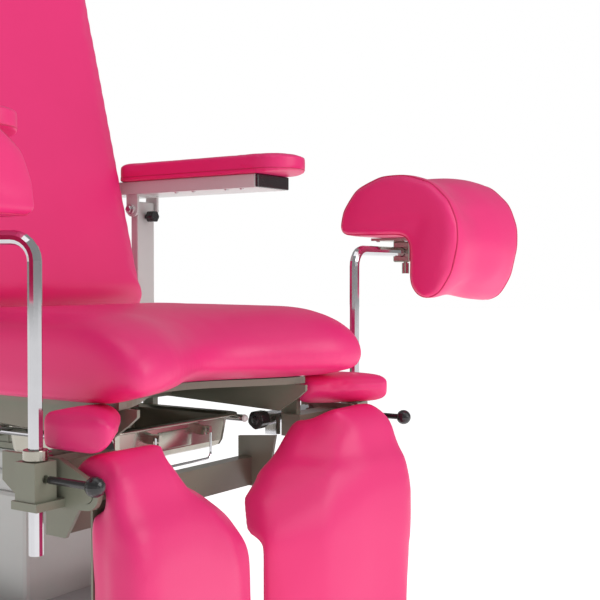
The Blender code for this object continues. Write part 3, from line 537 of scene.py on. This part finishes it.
def knee_pads():
    pad = upholstery("crutch_pad_left", "knee_upholstery_left", 0.0045, 60, lengthwise=False)
    near, far = 0.405, 0.655
    middle = at(0, -0.165, 0.300)

    def flare(place):
        """The hollow for the knee: waisted in the middle, wider at the outer end."""
        along = (place.x - near) / (far - near)
        waist = 0.055 * math.sin(math.pi * min(1.0, along * 1.35)) ** 2
        size = 1 - waist + 0.140 * max(0.0, along - 0.40) ** 1.2
        solid = max(0.0, min(1.0, (place - Vector((place.x, middle.y, middle.z))).length / 0.08))
        size = 1 + (size + 0.035 - 1) * solid
        stretch = 0.018 * ramp(along, 0.45, 1.0)
        return Vector((place.x + stretch, middle.y + (place.y - middle.y) * size,
                       middle.z + (place.z - middle.z) * size))

    reshape(pad, flare)
    rod_y, rod_z = at(0, ROD[1], 0.284).yz

    def keep_off(place):
        return 0.0 if abs(place.y - rod_y) < 0.10 and abs(place.z - rod_z) < 0.045 else 1.0

    stuff(pad, 4.0, 0.003, keep_off, 20)
    ends = [welt(pad, "knee_welt_inner", (near + 0.010, 0, 0), (1, 0, 0), 0.0017),
            welt(pad, "knee_welt_outer", (far + 0.009, 0, 0), (1, 0, 0), 0.0017)]
    seams = join("knee_welt_left", *ends)
    twin, twin_seams = mirrored(pad, "knee_upholstery_right"), mirrored(seams, "knee_welt_right")
    for side, piece, piping in (("left", pad, seams), ("right", park(twin), park(twin_seams))):
        finish(piping, "crutch_" + side, WELT)
        finish(piece, "crutch_" + side, PINK)
        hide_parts("crutch_pad_" + side)


# ---- fastenings and small fittings -----------------------------------------------------------
def point_away(piece, lean, place):
    """Turn an upright fitting to face along lean and put it in its place."""
    piece.rotation_euler = Vector(lean).to_track_quat("Z", "Y").to_euler()
    piece.location = place
    settle(piece)
    return piece


def hex_bolt(name, place, lean, size=0.0075, washer=0.0105):
    """A hexagon head on its washer, standing off a face along lean."""
    rim = washer - 0.0004
    ring = turned(name + "_washer", [
        (0.0, 0.0), (rim, 0.0), (washer, 0.0004), (washer, 0.0012), (rim, 0.0016),
        (0.0, 0.0016)], 28)
    head = turned(name, [
        (0.0, 0.0014), (size, 0.0014), (size, 0.0058), (size * 0.86, 0.0068), (0.0, 0.0068)], 6)
    piece = point_away(join(name, head, ring), lean, place)
    shade(piece, 30)
    return piece


def pan_screw(name, place, lean, size=0.0042):
    """A low domed screw head with a cross recess."""
    piece = turned(name, [
        (0.0, 0.0), (size, 0.0), (size, size * 0.22), (size * 0.86, size * 0.48),
        (size * 0.5, size * 0.64), (0.0, size * 0.68)], 20)
    wide, thin = size * 0.95 / 2, size * 0.22 / 2
    for across, along in ((thin, wide), (wide, thin)):
        carve(piece, block("recess", (-across, -along, size * 0.30), (across, along, size)))
    return point_away(piece, lean, place)


def arm_fastenings(side, s):
    """Pivot bolt and nut through the post, and the screws that hold the pad to its bar."""
    bolt = hex_bolt("arm_pivot_bolt_" + side, at(s * 0.2970, ARM_PIVOT_Y, ARM_PIVOT_Z), (-s, 0, 0))
    nut = hex_bolt("arm_pivot_nut_" + side, at(s * 0.3712, ARM_PIVOT_Y, ARM_PIVOT_Z), (s, 0, 0))
    finish(join("arm_pivot_bolt_" + side, bolt, nut), "armrest_" + side, ZINC)
    heads = [pan_screw(f"arm_screw_{number}_{side}", at(s * 0.309, y, 0.402), (0, 0, -1))
             for number, y in enumerate((0.114, 0.151, 0.232, 0.276))]
    finish(join("arm_screws_" + side, *heads), "armrest_" + side, ZINC)


def post_flange(side, s):
    """Screwed flange round the foot of the arm rest's post."""
    x, top = s * ARM_X, 0.0500
    flange = ease(block("post_flange_" + side, at(x - 0.034, 0.3745, 0.0462),
                        at(x + 0.034, 0.4055, top)), 0.0012, 2)
    carve(flange, block("post_way", at(x - 0.0254, 0.3806, 0.040), at(x + 0.0254, 0.3994, 0.060)))
    shade(flange)
    finish(flange, "seat", PAINT)
    heads = [pan_screw(f"post_screw_{number}_{side}", at(x + across, 0.390, top), (0, 0, 1), 0.0034)
             for number, across in enumerate((-0.0297, 0.0297))]
    finish(join("post_screws_" + side, *heads), "seat", ZINC)


def foot_nuts(side, s):
    """Lock nuts on the stems of the levelling feet."""
    bore, flat, corner = 0.0071, 0.0125, 0.0132
    section = [(bore, 0.0), (flat, 0.0), (corner, 0.0008), (corner, 0.0068),
               (flat, 0.0076), (bore, 0.0076), (bore, 0.0)]
    for number, y in enumerate((-0.11, 0.69)):
        nut = turned(f"foot_nut_{number}_{side}", section, 6, (s * 0.260, y + PAN_FRONT, 0.0195))
        shade(nut, 30)
        finish(nut, "base", ZINC)


def knob_cap(side, s):
    """Pressed-in cap on the face of the leg rest's knob."""
    cap = turned("knob_cap_" + side, [
        (0.0, 0.0), (0.0072, 0.0), (0.0074, 0.0006), (0.0060, 0.0016), (0.0, 0.0020)], 28)
    point_away(cap, (-s, 0, 0), at(s * 0.1810, -0.012, -0.014))
    finish(cap, "leg_knob_" + side, BLACK)


def saddle_screws(side, s):
    """Four screws that hold the knee pad to its saddle."""
    heads = [pan_screw(f"saddle_screw_{number}_{y}", at(s * x, y, 0.3045), (0, 0, -1), 0.0040)
             for number, x in enumerate((0.505, 0.634)) for y in (-0.132, -0.070)]
    screws = join("saddle_screws_" + side, *heads)
    if side == "right":
        park(screws)
    finish(screws, "crutch_" + side, ZINC)


def fittings():
    for side, s in SIDES:
        arm_fastenings(side, s)
        post_flange(side, s)
        foot_nuts(side, s)
        knob_cap(side, s)
        saddle_screws(side, s)
        washer = hex_bolt("back_hinge_washer_" + side, at(s * 0.2185, 0.412, 0.085), (s, 0, 0),
                          0.0090, 0.0150)
        finish(washer, "back", ZINC)


def pan_trim():
    """The rolled rim of the drain pan and the plain raised panel behind its bail."""
    half, deep, corner = 0.1625, 0.265, 0.030
    points = []
    for cx, cy, start in ((half - corner, deep - corner, 0), (corner - half, deep - corner, 90),
                          (corner - half, corner, 180), (half - corner, corner, 270)):
        for step in range(9):
            turn = math.radians(start + 90 * step / 8)
            points.append(at(cx + corner * math.cos(turn), cy + corner * math.sin(turn), -0.0003))
    finish(wire("pan_rolled_rim", points, 0.0019, True), "pan", STAINLESS)
    panel = block("pan_panel", at(-0.040, 0.0132, -0.040), at(0.040, 0.0190, -0.012))
    ease(panel, 0.0012, 3)
    finish(panel, "pan", STAINLESS)


seat()
back()
leg_rests()
arm_pads()
knee_pads()
fittings()
pan_trim()


# ---- camera, light and floor -----------------------------------------------------------------
deselect()
bpy.ops.object.camera_add(location=(-1.2988, -1.3273, 0.7044),
                          rotation=(math.radians(90 - 1.24), 0, math.radians(-55.79)))
camera = bpy.context.object
camera.data.lens, camera.data.sensor_width, camera.data.shift_x = 63.82, 36, 0.0025
bpy.context.scene.camera = camera
bpy.context.scene.view_settings.view_transform = "Standard"

bpy.ops.mesh.primitive_plane_add(size=40)
floor = bpy.context.object
floor.name = "studio_floor"
pale = bpy.data.materials.new("studio_floor")
pale.use_nodes = True
surface = pale.node_tree.nodes["Principled BSDF"].inputs
surface["Base Color"].default_value = (0.93, 0.93, 0.93, 1)
surface["Roughness"].default_value = 0.9
surface["Emission Color"].default_value = (1, 1, 1, 1)
surface["Emission Strength"].default_value = 0.74
floor.data.materials.append(pale)

world = bpy.data.worlds.new("studio")
bpy.context.scene.world = world
world.use_nodes = True
sky = world.node_tree.nodes["Background"]
sky.inputs["Color"].default_value = (1, 1, 1, 1)
seen = world.node_tree.nodes.new("ShaderNodeLightPath")
level = world.node_tree.nodes.new("ShaderNodeMapRange")
level.inputs["To Min"].default_value, level.inputs["To Max"].default_value = 0.36, 1.0
world.node_tree.links.new(seen.outputs["Is Camera Ray"], level.inputs["Value"])
world.node_tree.links.new(level.outputs["Result"], sky.inputs["Strength"])


def softbox(name, place, target, size, power):
    deselect()
    bpy.ops.object.light_add(type="AREA", location=place)
    lamp = bpy.context.object
    lamp.name = name
    lamp.data.size, lamp.data.energy = size, power
    lamp.rotation_euler = (Vector(target) - Vector(place)).to_track_quat("-Z", "Y").to_euler()


softbox("key", (0.6, -2.8, 1.7), (0.1, -0.1, 0.7), 1.6, 27)
softbox("top", (-0.4, -0.8, 2.9), (0.0, 0.0, 0.7), 1.8, 12)
